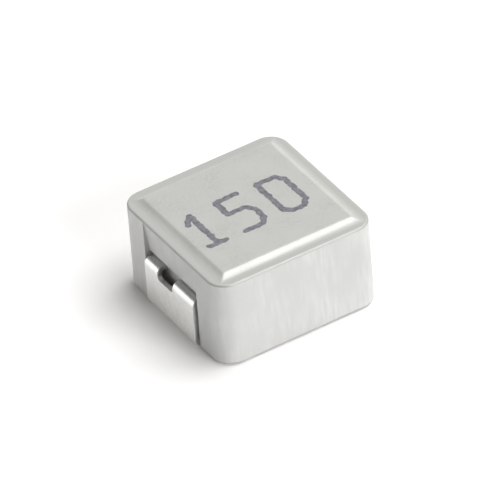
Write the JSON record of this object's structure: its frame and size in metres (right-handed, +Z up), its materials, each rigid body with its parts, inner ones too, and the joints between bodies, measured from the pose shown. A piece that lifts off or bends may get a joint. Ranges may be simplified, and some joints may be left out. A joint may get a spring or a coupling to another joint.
{
  "type": "shielded smd inductor",
  "caption": "Square moulded shielded power inductor for surface mounting, with folded slotted terminals on opposite sides and a raised square top.",
  "frame": {"origin": "middle of the footprint, on the board plane that the solder pads rest on", "axes": "+Z up from the board, +X along the line through the two terminals, +Y across that line"},
  "size_m": [0.0054, 0.0052, 0.0029],
  "materials": {
    "pressed_powder": "satin",
    "tinned_copper": "satin",
    "enamelled_wire": "gloss"
  },
  "bodies": {
    "root": {"moulded_core": "pressed_powder", "winding": "enamelled_wire", "left_terminal": "tinned_copper", "right_terminal": "tinned_copper"}
  },
  "joints": []
}
